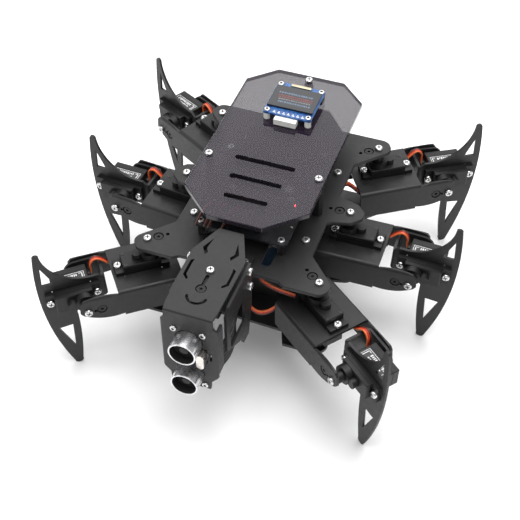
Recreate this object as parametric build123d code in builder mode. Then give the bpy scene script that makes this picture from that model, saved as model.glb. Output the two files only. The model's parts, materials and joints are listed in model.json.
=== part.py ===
from build123d import *
import os
from math import cos, radians, sin, tan

# Hexapod walking robot: two sheet-metal body plates, six two-servo legs, a panning sonar head
# and an acrylic top cover. Millimetres, +Z up, the head looks along -Y, the floor is Z = 0.
# Everything is drawn about the middle pair of hips and moved by BODY_SHIFT_Y on export, so that
# the origin is the centre of the standing robot's footprint.

os.makedirs("parts", exist_ok=True)

# ---- driving dimensions ------------------------------------------------------------------
SHEET = 1.6                  # bent brackets
PLATE = 2.0                  # body plates
PLATE_EDGE = 0.35            # broken edge round the upper plate
BODY_SHIFT_Y = 14.8          # middle hips behind the footprint's centre
FIT = 0.05                   # radial clearance of a turning fit

HIP_X = 52.4                 # hip axis from the centre line
HIP_ROWS = (-60.2, 0.0, 61.0)
LEG_YAW = {                  # standing pose, degrees from straight out, + is towards the rear
    "right_front": -38.0, "right_middle": 1.0, "right_rear": 33.5,
    "left_front": -38.0, "left_middle": 5.0, "left_rear": 29.0,
}
HIP_TO_KNEE = 42.4
KNEE_REST = 3.0              # the claws stand tipped in by this many degrees
KNEE_BELOW_PLATE = 29.2      # knee axis under the upper plate's top face

TIP_TOP = (21.4, 36.0, 1.9)          # claw: centre and radius of the upper point
TIP_FOOT = (11.6, -59.4, 2.6)        # claw: centre and radius of the foot
FOOT_DROP = (TIP_FOOT[0] * sin(radians(KNEE_REST))
             - TIP_FOOT[1] * cos(radians(KNEE_REST)) + TIP_FOOT[2])
KNEE_Z = FOOT_DROP
DECK_Z = KNEE_Z + KNEE_BELOW_PLATE   # top face of the upper body plate
LOWER_DECK_Z = DECK_Z - 50.0         # top face of the lower body plate

CHANNEL_TOP = DECK_Z - 19.2          # the hip bracket's top face
CHANNEL_HALF = 19.0                  # outside of its side walls
CHANNEL_IN, CHANNEL_OUT = -16.0, 23.5
CHANNEL_DEPTH = 19.4

CLAW_FACE = 1.6              # near face of the claw sheet, in front of the leg's centre plane
CLAW_FOLD = -15.0            # outside of the claw bracket's fold, from the knee axis
CLAW_FAR = -17.0             # outside of the far wall

SERVO_LONG, SERVO_WIDE = 22.8, 12.2  # micro servo case
SERVO_BACK = 5.9             # case end behind the shaft
SERVO_BELOW = 15.9           # case under the ears
SERVO_ABOVE = 6.6            # case over the ears' underside
EAR_LONG, EAR_THICK = 32.3, 2.5
EAR_HOLES = (-8.5, 19.5)     # from the shaft
TOWER_R, TOWER_TOP = 5.9, 10.6
SERVO_SEAMS = (-11.6, 3.6)           # grooves between the case's three shells
WINDOW_RELIEF = 0.75                 # corner holes of a servo window
SHAFT_R, SHAFT_DEEP = 2.4, 3.0
BEND_R = 2.2                         # outside of a bend
HORN_REACH = 12.6

COVER_BOTTOM, COVER_THICK = 24.0, 3.0        # over the deck
COVER_PILLARS = ((34.0, -6.8), (-34.0, -6.8), (0.0, 78.4))
DECK_PILLARS = [(x, y) for x in (-34.9, 34.9) for y in (-31.0, 31.0)]
BOARD = (57.0, 85.0, 1.6)
BOARD_Y, BOARD_RISE = -6.0, 8.4
DISPLAY = (30.6, 30.6, 1.2)
DISPLAY_Y, DISPLAY_RISE, DISPLAY_HOLE = 49.6, 4.4, 13.1

PAN_Y = -91.2                # head pan axis
TONGUE_TOP = 22.6            # head sheet's top face over the deck
FACE_Y = -125.0              # front face of the head's front plate
FACE_HALF = 16.4             # half its width
NECK_RISE = 7.0              # ledge that carries the pan servo, over the deck
NECK_SCREWS = [(-8.0, -60.5), (8.0, -60.5)]
CHEEK_HALF = 17.4            # outside of the neck's cheeks
SONAR_Z = -11.5              # middle of the sonar board, over the deck
CAN_APART, CAN_R, CAN_LONG = 26.0, 8.0, 12.0
CAN_RIM, CAN_HOLLOW = 1.0, 5.0
CRYSTAL_LONG = 6.6
FLANGE_DEEP = 8.6            # side flanges of the front plate

SCREW_R, SCREW_HEAD_R, SCREW_HEAD = 1.0, 2.5, 1.7
FLUSH_R, FLUSH_DEEP = 2.5, 1.3
PIVOT_R = 1.5
LEAD_R = 1.1


# ---- helpers -----------------------------------------------------------------------------
def save(part, name):
    """Move a finished part into the footprint's frame, label it and write its STEP."""
    moved = part.moved(Location((0, BODY_SHIFT_Y, 0)))
    moved.label = name
    export_step(moved, f"parts/{name}.step")


def at_leg(part, leg):
    """A leg piece at its own leg: turned about the hip axis, and mirrored for a left leg."""
    side, row = leg.split("_")
    hip_y = HIP_ROWS[("front", "middle", "rear").index(row)]
    turned = part.moved(Location((HIP_X, hip_y, 0), (0, 0, LEG_YAW[leg])))
    return turned if side == "right" else mirror(turned, about=Plane.YZ)


def wall_plane(near):
    """Upright plane along the leg, `near` millimetres in front of its centre, origin at deck height."""
    return Plane(origin=(0, -near, DECK_Z), x_dir=(1, 0, 0), z_dir=(0, -1, 0))


def knee_plane(near):
    """Upright plane of the lower leg: origin on the knee axis, tipped by the standing angle."""
    tip = radians(KNEE_REST)
    return Plane(origin=(HIP_TO_KNEE, -near, KNEE_Z), x_dir=(cos(tip), 0, -sin(tip)), z_dir=(0, -1, 0))


def disc(base, radius, height, at=(0, 0), mode=Mode.ADD):
    """Add or cut a cylinder that stands on a plane."""
    with BuildSketch(base) as profile:
        with Locations(at):
            Circle(radius)
    extrude(profile.sketch, amount=height, mode=mode)


def block(base, size, at=(0, 0), mode=Mode.ADD):
    """Add or cut a box that stands on a plane: size is along the plane's x, y and normal."""
    with BuildSketch(base) as profile:
        with Locations(at):
            Rectangle(size[0], size[1])
    extrude(profile.sketch, amount=size[2], mode=mode)


def pan_screw(face, at, shank, shank_r=SCREW_R, head_r=SCREW_HEAD_R, head=SCREW_HEAD):
    """Pan-head screw, seated on `face` and pointing into it: cross recess, or a socket in a small one."""
    seat = face.offset(0)
    seat.origin = (face * Pos(at[0], at[1], 0)).position
    with BuildPart() as screw:
        disc(seat, head_r, head)
        fillet(screw.faces().sort_by(Axis(seat.origin, seat.z_dir))[-1].edges(), head * 0.55)
        disc(seat, shank_r, -shank)
        if head_r < SCREW_HEAD_R:
            disc(seat.offset(head), head_r * 0.45, -head * 0.6, mode=Mode.SUBTRACT)
        else:
            for turn in (0, 90):
                with BuildSketch(seat.offset(head)):
                    Rectangle(head_r * 1.15, head_r * 0.24, rotation=turn + 20)
                extrude(amount=-head * 0.55, mode=Mode.SUBTRACT)
    return screw.part


def group(*parts):
    """Separate solids that share one node."""
    return Compound(children=list(parts))


def limp_tube(points, radius):
    """A lead: straight runs joined by the largest arcs that its two runs allow."""
    points = [Vector(*p) for p in points]
    radii = []
    for before, corner, after in zip(points, points[1:], points[2:]):
        turn = (corner - before).get_angle(after - corner)
        run = min((corner - before).length, (after - corner).length)
        radii.append(0.45 * run / tan(radians(turn) / 2))
    print("lead radii", [round(radius, 1) for radius in radii])
    with BuildPart() as tube:
        with BuildLine() as route:
            FilletPolyline(*points, radius=radii)
        with BuildSketch(Plane(origin=route.line @ 0, z_dir=route.line % 0)):
            Circle(radius)
        sweep(path=route.line)
    return tube.part


# ---- servos ------------------------------------------------------------------------------
def servo(base):
    """Micro servo: shaft on the plane's normal, ears lying on the plane, case along its x."""
    middle = SERVO_LONG / 2 - SERVO_BACK
    flat = Plane.XY
    with BuildPart() as case:
        block(flat.offset(-SERVO_BELOW), (SERVO_LONG, SERVO_WIDE, SERVO_BELOW + SERVO_ABOVE), (middle, 0))
        fillet(case.edges().filter_by(Axis.Z), 0.7)
        chamfer(case.faces().filter_by(Axis.Z).edges(), 0.35)
        for seam in SERVO_SEAMS:
            with BuildSketch(flat.offset(seam)) as groove:
                with Locations((middle, 0)):
                    Rectangle(SERVO_LONG + 1.0, SERVO_WIDE + 1.0)
                    Rectangle(SERVO_LONG - 0.5, SERVO_WIDE - 0.5, mode=Mode.SUBTRACT)
            extrude(groove.sketch, amount=0.3, mode=Mode.SUBTRACT)
        block(flat, (EAR_LONG, SERVO_WIDE, EAR_THICK), (middle, 0))
        disc(flat.offset(SERVO_ABOVE), TOWER_R, TOWER_TOP - SERVO_ABOVE)
        disc(flat.offset(SERVO_ABOVE), 3.0, TOWER_TOP - SERVO_ABOVE - 0.4, (7.4, 0))
        for x in EAR_HOLES:
            disc(flat, SCREW_R + 0.1, EAR_THICK, (x, 0), Mode.SUBTRACT)
        disc(flat.offset(TOWER_TOP), SHAFT_R + FIT, -SHAFT_DEEP, mode=Mode.SUBTRACT)
    return case.part.moved(base.location)


def ear_screws(base, grip):
    """The two screws through a servo's ears."""
    return [pan_screw(base.offset(EAR_THICK), (x, 0), grip) for x in EAR_HOLES]


def horn(base, seat):
    """Output shaft, hub and arm of a servo horn; `seat` is the height of the face it is screwed to."""
    clear = 0.3
    with BuildPart() as arm:
        disc(base.offset(TOWER_TOP + clear - SHAFT_DEEP), SHAFT_R, SHAFT_DEEP)
        disc(base.offset(TOWER_TOP + clear), 3.5, seat - TOWER_TOP - clear)
        with BuildSketch(base.offset(seat)):
            with Locations((-HORN_REACH / 2, 0)):
                SlotOverall(HORN_REACH + 6.5, 6.0)
        extrude(amount=-1.6)
        disc(base.offset(seat), SCREW_R + 0.1, -2.6, mode=Mode.SUBTRACT)
    return arm.part


def flush_screw(face, at, shank):
    """Countersunk cross-recess screw, level with `face` and pointing into it."""
    with BuildPart() as screw:
        with BuildSketch(face) as head:
            with Locations(at):
                Circle(FLUSH_R)
        extrude(head.sketch, amount=-FLUSH_DEEP, taper=45)
        disc(face, FLUSH_R - FLUSH_DEEP, -shank, at)
        for turn in (0, 90):
            with BuildSketch(face) as slot:
                with Locations(at):
                    Rectangle(FLUSH_R * 1.2, 0.6, rotation=turn + 20)
            extrude(slot.sketch, amount=-0.8, mode=Mode.SUBTRACT)
    return screw.part


def horn_arm_screw(face, at):
    """Low black screw, sunk in a clearance hole beside the pivot."""
    seat = face.offset(-1.4)
    with BuildPart() as screw:
        disc(seat, 2.5, 1.1, at)
        disc(seat.offset(1.1), 0.9, -0.8, at, Mode.SUBTRACT)
    return screw.part


# ---- one leg, drawn about its hip axis with +X outwards and -Y towards the head ---------------
HIP_BASE = Plane(origin=(0, 0, CHANNEL_TOP), x_dir=(1, 0, 0), z_dir=(0, 0, 1))
KNEE_BASE = knee_plane(CLAW_FACE)
HORN_SEAT = DECK_Z - PLATE - CHANNEL_TOP
KNEE_SEAT = CHANNEL_HALF - SHEET - CLAW_FACE
RING_AT = -6.6                # sunk screw beside a pivot
SPARE_AT = -12.2              # spare hole beside a pivot


def servo_window(face):
    """Cut a servo's window, its corner reliefs and its two ear-screw holes through a sheet."""
    middle = SERVO_LONG / 2 - SERVO_BACK
    half_long, half_wide = SERVO_LONG / 2 + 0.2, SERVO_WIDE / 2 + 0.2
    block(face, (2 * half_long, 2 * half_wide, -SHEET), (middle, 0), Mode.SUBTRACT)
    for x in (middle - half_long, middle + half_long):
        for y in (-half_wide, half_wide):
            disc(face, WINDOW_RELIEF, -SHEET, (x, y), Mode.SUBTRACT)
    for x in EAR_HOLES:
        disc(face, SCREW_R + 0.1, -SHEET, (x, 0), Mode.SUBTRACT)


def ear_outline():
    """Side wall of the hip bracket: channel side, step and leaf-shaped ear, in wall-plane units."""
    top = CHANNEL_TOP - DECK_Z
    foot = top - CHANNEL_DEPTH
    with BuildSketch(mode=Mode.PRIVATE) as outline:
        with BuildLine():
            side = Polyline((CHANNEL_IN, top), (CHANNEL_IN, foot), (21.0, foot), (21.0, foot + 1.5))
            belly = ThreePointArc(side @ 1, (34.0, foot + 1.7), (45.4, foot + 7.0))
            tip = Polyline(belly @ 1, (47.0, foot + 9.0), (46.4, foot + 15.6), (44.6, foot + 18.0))
            brow = ThreePointArc(tip @ 1, (35.0, top - 0.1), (CHANNEL_OUT, top - 1.8))
            Polyline(brow @ 1, (CHANNEL_OUT, top), side @ 0)
        make_face()
    return outline.sketch


def hip_bracket():
    """Inverted channel over the hip servo; its side walls run out into the two knee ears."""
    inner = CHANNEL_HALF - SHEET
    strap_z = CHANNEL_TOP - CHANNEL_DEPTH
    with BuildPart() as bracket:
        block(HIP_BASE, (CHANNEL_OUT - CHANNEL_IN, 2 * CHANNEL_HALF, -SHEET),
              ((CHANNEL_OUT + CHANNEL_IN) / 2, 0))
        for near in (CHANNEL_HALF, -inner):
            with BuildSketch(wall_plane(near)):
                add(ear_outline())
            extrude(amount=-SHEET)
        # strap under the servo, bored for the lower pivot
        block(HIP_BASE.offset(-CHANNEL_DEPTH), (16.0, 2 * CHANNEL_HALF - 0.2, SHEET), (0, 0))
        disc(HIP_BASE.offset(-CHANNEL_DEPTH), 3.0 + FIT, SHEET, mode=Mode.SUBTRACT)
        bends = bracket.edges().filter_by(Axis.X).group_by(Axis.Z)[-1].sort_by(Axis.Y)
        fillet([bends[0], bends[-1]], BEND_R)
        servo_window(HIP_BASE)
        knee = Plane(origin=(HIP_TO_KNEE, -CHANNEL_HALF, KNEE_Z), x_dir=(1, 0, 0), z_dir=(0, -1, 0))
        disc(knee, SCREW_R + 0.1, -SHEET, mode=Mode.SUBTRACT)
        disc(knee, 3.1, -SHEET, (RING_AT - 1.6, 0), Mode.SUBTRACT)
        disc(knee, 0.9, -SHEET, (-4.2, -0.4), Mode.SUBTRACT)
        disc(knee.offset(-2 * CHANNEL_HALF + SHEET), PIVOT_R + 0.1, -SHEET, mode=Mode.SUBTRACT)
    return bracket.part


def hip_screws():
    """Screws carried by the hip bracket: servo ears, knee horn and the far knee pivot."""
    near = Plane(origin=(HIP_TO_KNEE, -CHANNEL_HALF, KNEE_Z), x_dir=(1, 0, 0), z_dir=(0, -1, 0))
    far = Plane(origin=(HIP_TO_KNEE, CHANNEL_HALF, KNEE_Z), x_dir=(-1, 0, 0), z_dir=(0, 1, 0))
    return group(*ear_screws(HIP_BASE, 4.6), pan_screw(near, (0, 0), 3.4),
                 pan_screw(far, (0, 0), SHEET + 2.2, PIVOT_R))


def knee_horn():
    """Knee horn under the near ear, with its sunk arm screw."""
    base = Plane(origin=KNEE_BASE.origin, x_dir=(1, 0, 0), z_dir=(0, -1, 0))
    ring_face = base.offset(KNEE_SEAT + SHEET)
    return group(horn(base, KNEE_SEAT), horn_arm_screw(ring_face, (RING_AT - 1.6, 0)))


def claw_outline():
    """The fang-shaped claw sheet, in knee-plane units."""
    top_x, top_z, top_r = TIP_TOP
    foot_x, foot_z, foot_r = TIP_FOOT
    with BuildSketch(mode=Mode.PRIVATE) as outline:
        with BuildLine():
            outer = ThreePointArc((top_x + top_r, top_z + 0.6), (25.2, -5.0), (foot_x + foot_r, foot_z - 0.4))
            foot = ThreePointArc(outer @ 1, (foot_x, foot_z - foot_r), (foot_x - foot_r, foot_z + 0.8))
            calf = ThreePointArc(foot @ 1, (5.9, -34.0), (5.4, -15.5))
            inner = Polyline(calf @ 1, (1.0, -9.0), (CLAW_FOLD + 1.0, -8.0), (CLAW_FOLD + 1.0, 7.8),
                             (-11.0, 10.2))
            nape = ThreePointArc(inner @ 1, (8.4, 15.6), (top_x - top_r, top_z + 0.8))
            ThreePointArc(nape @ 1, (top_x + 0.2, top_z + top_r), outer @ 0)
        make_face()
        for cut in (((9.9, -26.0), (18.6, -26.6), (11.4, -46.0)), ((20.7, 27.0), (21.8, 12.9), (14.8, 12.7))):
            with BuildLine():
                Polyline(*cut, close=True)
            make_face(mode=Mode.SUBTRACT)
    return outline.sketch


def claw_bracket():
    """Claw sheet, fold and far wall: one bent piece round the knee servo."""
    near = Plane.XY
    depth = CLAW_FACE - CLAW_FAR
    with BuildPart() as claw:
        with BuildSketch(near):
            add(claw_outline())
        extrude(amount=-SHEET)
        block(near, (SHEET, 15.6, -depth), (CLAW_FOLD + SHEET / 2, -0.1))
        with BuildSketch(near.offset(-depth)):
            with Locations((CLAW_FOLD / 2, -0.1)):
                Rectangle(-CLAW_FOLD, 15.6)
            Circle(7.7)
        extrude(amount=SHEET)
        bends = claw.edges().filter_by(Axis.Y).group_by(Axis.X)[0].sort_by(Axis.Z)
        fillet([bends[0], bends[-1]], BEND_R)
        servo_window(near)
        disc(near.offset(-depth), PIVOT_R + FIT, SHEET, mode=Mode.SUBTRACT)
    return claw.part.moved(knee_plane(CLAW_FACE).location)


def knee_lead():
    """Ribbon lead from the channel's end, up and over the gap into the back of the knee servo."""
    rear = 11.6
    return limp_tube([
        (13.0, rear, CHANNEL_TOP - 6.0), (22.2, rear, CHANNEL_TOP - 5.4), (27.4, rear, CHANNEL_TOP + 0.6),
        (31.6, rear, CHANNEL_TOP + 2.4), (34.6, rear, CHANNEL_TOP - 1.8), (33.6, rear, CHANNEL_TOP - 8.0),
        (35.4, rear, CHANNEL_TOP - 10.2),
    ], LEAD_R)


# ---- body ----------------------------------------------------------------------------------
def plate_outline(front_y, tab):
    """Six-armed body plate; the rear tab carries the cover's rear pillar."""
    right = [
        (0, front_y), (30.0, front_y - 1.0), (34.0, -69.2), (56.5, -69.2), (61.0, -60.8), (42.3, -41.0),
        (42.0, -11.6), (55.2, -8.3), (60.8, -2.6), (60.8, 2.6), (55.2, 8.3), (42.0, 11.6),
        (42.3, 41.6), (61.0, 61.6), (56.5, 70.0), (26.0, 70.0),
    ]
    right += [(12.0, 86.5), (0, 86.5)] if tab else [(0, 70.0)]
    rounding = {(56.5, -69.2): 6.5, (61.0, -60.8): 6.0, (55.2, -8.3): 4.0, (60.8, -2.6): 4.0,
                (60.8, 2.6): 4.0, (55.2, 8.3): 4.0, (61.0, 61.6): 6.0, (56.5, 70.0): 6.5,
                (42.3, -41.0): 1.5, (42.0, -11.6): 3.0, (42.0, 11.6): 3.0, (42.3, 41.6): 1.5,
                (12.0, 86.5): 3.0}
    with BuildSketch(mode=Mode.PRIVATE) as outline:
        with BuildLine() as half:
            Polyline(*right)
            mirror(about=Plane.YZ)
        make_face()
        for corner, radius in rounding.items():
            for x in (corner[0], -corner[0]):
                nearest = outline.vertices().sort_by_distance((x, corner[1], 0))[0]
                if (Vector(nearest) - Vector(x, corner[1], 0)).length < 0.01:
                    fillet(nearest, radius)
    return outline.sketch


def hip_points(reach):
    """Points along the arms, `reach` from each hip axis (negative is towards the body)."""
    places = []
    for row, yaw in zip(HIP_ROWS, (-38.0, 0.0, 38.0)):
        x, y = HIP_X + reach * cos(radians(yaw)), row + reach * sin(radians(yaw))
        places += [(x, y), (-x, y)]
    return places


def upper_plate():
    """Upper body plate: servo horns hang under its arms."""
    top = Plane.XY.offset(DECK_Z)
    with BuildPart() as plate:
        with BuildSketch(top):
            add(plate_outline(-65.5, True))
        extrude(amount=-PLATE)
        chamfer(plate.faces().sort_by(Axis.Z)[-1].outer_wire().edges(), PLATE_EDGE)
        for at in hip_points(0) + DECK_PILLARS + list(COVER_PILLARS):
            disc(top, SCREW_R + 0.1 if at in hip_points(0) else 1.6, -PLATE, at, Mode.SUBTRACT)
        for at in hip_points(RING_AT):
            disc(top, 3.1, -PLATE, at, Mode.SUBTRACT)
        for at in hip_points(SPARE_AT) + NECK_SCREWS:
            disc(top, 1.1, -PLATE, at, Mode.SUBTRACT)
        # lead slots beside the head
        with BuildSketch(top):
            with Locations((-19.0, -49.0), (19.0, -49.0)):
                SlotOverall(18.0, 6.0, rotation=90)
        extrude(amount=-PLATE, mode=Mode.SUBTRACT)
    return plate.part


BELLY = Plane(origin=(0, 0, LOWER_DECK_Z - PLATE), x_dir=(1, 0, 0), z_dir=(0, 0, -1))
BELLY_SCREWS = [(x, -y) for x, y in DECK_PILLARS + hip_points(0)]


def lower_plate():
    """Lower body plate: carries the battery and the hips' lower pivots."""
    top = Plane.XY.offset(LOWER_DECK_Z)
    with BuildPart() as plate:
        with BuildSketch(top):
            add(plate_outline(-58.0, False))
        extrude(amount=-PLATE)
        for at in DECK_PILLARS + hip_points(0):
            disc(top, FLUSH_R - FLUSH_DEEP + 0.1, -PLATE, at, Mode.SUBTRACT)
        with BuildSketch(BELLY) as sinks:
            with Locations(BELLY_SCREWS):
                Circle(FLUSH_R + 0.1)
        extrude(sinks.sketch, amount=-FLUSH_DEEP, taper=45, mode=Mode.SUBTRACT)
    return plate.part


def hip_pivot_posts():
    """Posts on the lower plate that each hip bracket's strap turns on."""
    strap = CHANNEL_TOP - CHANNEL_DEPTH
    posts = []
    for at in hip_points(0):
        with BuildPart() as post:
            disc(Plane.XY.offset(LOWER_DECK_Z), 5.6, strap - 0.4 - LOWER_DECK_Z, at)
            disc(Plane.XY.offset(strap - 0.4), 3.0, SHEET + 0.3, at)
            disc(Plane.XY.offset(LOWER_DECK_Z), 1.25, 6.0, at, Mode.SUBTRACT)
        posts.append(post.part)
    return group(*posts)


def hip_horns():
    """The six hip horns, screwed under the upper plate's arms."""
    pieces = []
    for leg in LEG_YAW:
        side, row = leg.split("_")
        index = ("front", "middle", "rear").index(row)
        yaw = radians((-38.0, 0.0, 38.0)[index])
        base = Plane(origin=(HIP_X, HIP_ROWS[index], CHANNEL_TOP), x_dir=(cos(yaw), sin(yaw), 0),
                     z_dir=(0, 0, 1))
        arm = horn(base, HORN_SEAT)
        sunk = horn_arm_screw(base.offset(HORN_SEAT + PLATE), (RING_AT, 0))
        pieces += [arm, sunk] if side == "right" else [mirror(p, about=Plane.YZ) for p in (arm, sunk)]
    return group(*pieces)


def pillar(at, low, high, radius=3.0):
    """Threaded hexagonal pillar between two levels."""
    with BuildPart() as post:
        with BuildSketch(Plane.XY.offset(low)):
            with Locations(at):
                RegularPolygon(radius, 6)
        extrude(amount=high - low)
        for level, way in ((low, 1), (high, -1)):
            disc(Plane.XY.offset(level), 1.25, way * 7.0, at, Mode.SUBTRACT)
    return post.part


def standoffs():
    """Pillars between the plates, under the cover and under the control board."""
    posts = [pillar(at, LOWER_DECK_Z, DECK_Z - PLATE) for at in DECK_PILLARS]
    posts += [pillar(at, DECK_Z, DECK_Z + COVER_BOTTOM) for at in COVER_PILLARS]
    posts += [pillar(at, DECK_Z, DECK_Z + BOARD_RISE, 2.4) for at in board_holes()]
    return group(*posts)


def board_holes():
    """The control board's corner holes."""
    return [(x, BOARD_Y + y) for x in (-24.5, 24.5) for y in (-39.0, 39.0)]


def body_screws():
    """Every screw that stays with the body."""
    deck = Plane.XY.offset(DECK_Z)
    lid = Plane.XY.offset(DECK_Z + COVER_BOTTOM + COVER_THICK)
    board = Plane.XY.offset(DECK_Z + BOARD_RISE + BOARD[2])
    screws = [pan_screw(deck, at, PLATE + 2.2) for at in hip_points(0)]
    screws += [pan_screw(deck, at, PLATE + 4.0, 1.2) for at in DECK_PILLARS]
    screws += [flush_screw(BELLY, at, PLATE + 4.0) for at in BELLY_SCREWS]
    screws += [pan_screw(lid, at, COVER_THICK + 4.0, 1.2) for at in COVER_PILLARS]
    screws += [pan_screw(board, at, BOARD[2] + 3.0, 1.0, 2.2, 1.3) for at in board_holes()]
    screws += [pan_screw(deck.offset(SHEET), at, SHEET + PLATE + 1.0) for at in NECK_SCREWS]
    servo_base = Plane(origin=(0, PAN_Y, DECK_Z + NECK_RISE), x_dir=(0, 1, 0), z_dir=(0, 0, 1))
    screws += ear_screws(servo_base, EAR_THICK + SHEET + 0.8)
    return group(*screws, *display_screws(), *cheek_screws())


HIP_LEADS = {                 # routes over the middle hips' row, heights from the deck
    "right_front_loop": [(28.4, -60.6, -27.5), (24.2, -64.0, -31.4), (17.0, -65.6, -33.2), (10.2, -62.6, -31.2),
                         (6.8, -55.6, -26.4), (7.6, -48.2, -20.2)],
    "right_front_straight": [(38.6, -60.6, -15.4), (32.6, -62.4, -12.6), (23.4, -62.6, -10.4),
                             (15.4, -59.6, -8.8), (10.6, -52.2, -9.4)],
    "left_front": [(-36.0, -57.4, -24.6), (-30.6, -60.8, -22.4), (-24.0, -62.6, -19.4), (-18.2, -59.8, -14.8),
                   (-15.6, -52.8, -12.0)],
    "right_rear": [(47.0, 46.0, -27.0), (43.0, 45.0, -22.6), (40.8, 40.8, -16.6), (40.4, 35.0, -10.4),
                   (38.4, 28.2, -6.6), (32.4, 22.6, -6.0)],
}


def hip_leads():
    """Leads of the hip servos, from their channels in under the deck."""
    leads = []
    for route in HIP_LEADS.values():
        leads.append(limp_tube([(x, y, DECK_Z + z) for x, y, z in route], LEAD_R))
    return group(*leads)


HEAD_LEADS = [                # from the sonar board back under the deck's front edge
    [(10.8, -120.4, -10.0), (11.2, -114.6, -14.6), (12.6, -107.0, -16.4), (13.4, -98.0, -13.2),
     (13.0, -88.6, -9.4), (11.6, -79.6, -6.2), (9.6, -70.4, -5.4), (8.8, -61.4, -6.6)],
    [(10.4, -120.4, -15.0), (11.4, -113.8, -19.4), (13.2, -106.0, -18.8), (13.8, -97.0, -17.0),
     (12.4, -87.4, -14.6), (10.8, -78.4, -10.6), (10.4, -69.4, -9.6), (11.2, -60.8, -10.4)],
]


def head_leads():
    """Black leads of the sonar board, along the inside of the right cheek."""
    return group(*[limp_tube([(x, y, DECK_Z + z) for x, y, z in route], LEAD_R) for route in HEAD_LEADS])


def control_board():
    """Control board with its connectors, chips and pin headers."""
    low = DECK_Z + BOARD_RISE
    top = Plane.XY.offset(low + BOARD[2])
    with BuildPart() as board:
        with BuildSketch(Plane.XY.offset(low)):
            with Locations((0, BOARD_Y)):
                RectangleRounded(BOARD[0], BOARD[1], 3.0)
        extrude(amount=BOARD[2])
        for at in board_holes():
            disc(Plane.XY.offset(low), 1.35, BOARD[2], at, Mode.SUBTRACT)
        block(top, (14.0, 14.0, 1.6), (-6.0, BOARD_Y + 4.0))
        block(top, (9.0, 9.0, 1.2), (12.0, BOARD_Y - 12.0))
        block(top, (13.0, 17.0, 11.5), (-14.0, BOARD_Y + 29.5))
        block(top, (13.0, 17.0, 11.5), (3.0, BOARD_Y + 29.5))
        block(top, (5.0, 50.0, 8.5), (-24.6, BOARD_Y - 7.0))
        block(top, (30.0, 7.6, 8.5), (-4.0, BOARD_Y - 33.0))
        block(top, (9.0, 7.0, 5.0), (22.5, BOARD_Y + 12.0))
    return board.part


def battery_pack():
    """Two-cell battery holder on the lower plate."""
    floor = Plane.XY.offset(LOWER_DECK_Z)
    long, wide, high = 76.0, 40.0, 20.5
    with BuildPart() as pack:
        with BuildSketch(floor):
            with Locations((0, 2.0)):
                RectangleRounded(wide, long, 2.0)
        extrude(amount=11.0)
        for x in (-9.7, 9.7):
            with BuildSketch(Plane(origin=(x, 2.0 - 32.6, LOWER_DECK_Z + 11.0), x_dir=(1, 0, 0),
                                   z_dir=(0, 1, 0))):
                Circle(9.1)
            extrude(amount=65.2)
        block(floor, (wide, 3.0, high - 4.0), (0, 2.0 - long / 2 + 1.5))
        block(floor, (wide, 3.0, high - 4.0), (0, 2.0 + long / 2 - 1.5))
    return pack.part


def cover_plate():
    """Smoked acrylic cover: a long octagon with three vent slots."""
    low = DECK_Z + COVER_BOTTOM
    right = [(0, -55.6), (16.6, -55.6), (38.0, -35.6), (38.0, 68.0), (21.7, 83.6), (0, 83.6)]
    with BuildPart() as cover:
        with BuildSketch(Plane.XY.offset(low)) as outline:
            with BuildLine():
                Polyline(*right)
                mirror(about=Plane.YZ)
            make_face()
            fillet(outline.vertices().filter_by(lambda v: abs(v.X) > 1), 0.8)
            for half, y in ((16.9, -3.8), (14.3, -20.0), (11.6, -36.5)):
                with Locations((0, y)):
                    SlotOverall(2 * half + 3.4, 3.6, mode=Mode.SUBTRACT)
            with Locations(*COVER_PILLARS):
                Circle(1.6, mode=Mode.SUBTRACT)
            with Locations(*display_holes()):
                Circle(1.1, mode=Mode.SUBTRACT)
        extrude(amount=COVER_THICK)
        chamfer(cover.faces().sort_by(Axis.Z)[-1].outer_wire().edges(), 0.25)
    return cover.part


def display_holes():
    """The display board's corner holes."""
    return [(x, DISPLAY_Y + y) for x in (-DISPLAY_HOLE, DISPLAY_HOLE) for y in (-DISPLAY_HOLE, DISPLAY_HOLE)]


def display_module():
    """Small display: board on four spacers, glass and a side-entry socket."""
    lid = DECK_Z + COVER_BOTTOM + COVER_THICK
    top = Plane.XY.offset(lid + DISPLAY_RISE + DISPLAY[2])
    with BuildPart() as board:
        with BuildSketch(Plane.XY.offset(lid + DISPLAY_RISE)):
            with Locations((0, DISPLAY_Y)):
                RectangleRounded(DISPLAY[0], DISPLAY[1], 1.5)
        extrude(amount=DISPLAY[2])
        for at in display_holes():
            disc(Plane.XY.offset(lid), 2.2, DISPLAY_RISE, at)
            disc(Plane.XY.offset(lid), 1.1, DISPLAY_RISE + DISPLAY[2], at, Mode.SUBTRACT)
        block(top, (29.0, 20.0, 1.5), (0, DISPLAY_Y + 0.6))
        block(Plane.XY.offset(lid + DISPLAY_RISE), (14.0, 5.2, -3.8), (0, DISPLAY_Y - DISPLAY[1] / 2 - 1.2))
    return board.part


def display_screws():
    """Screws through the display board and its spacers."""
    top = Plane.XY.offset(DECK_Z + COVER_BOTTOM + COVER_THICK + DISPLAY_RISE + DISPLAY[2])
    return [pan_screw(top, at, 8.0, 0.95, 1.9, 1.1) for at in display_holes()]


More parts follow.
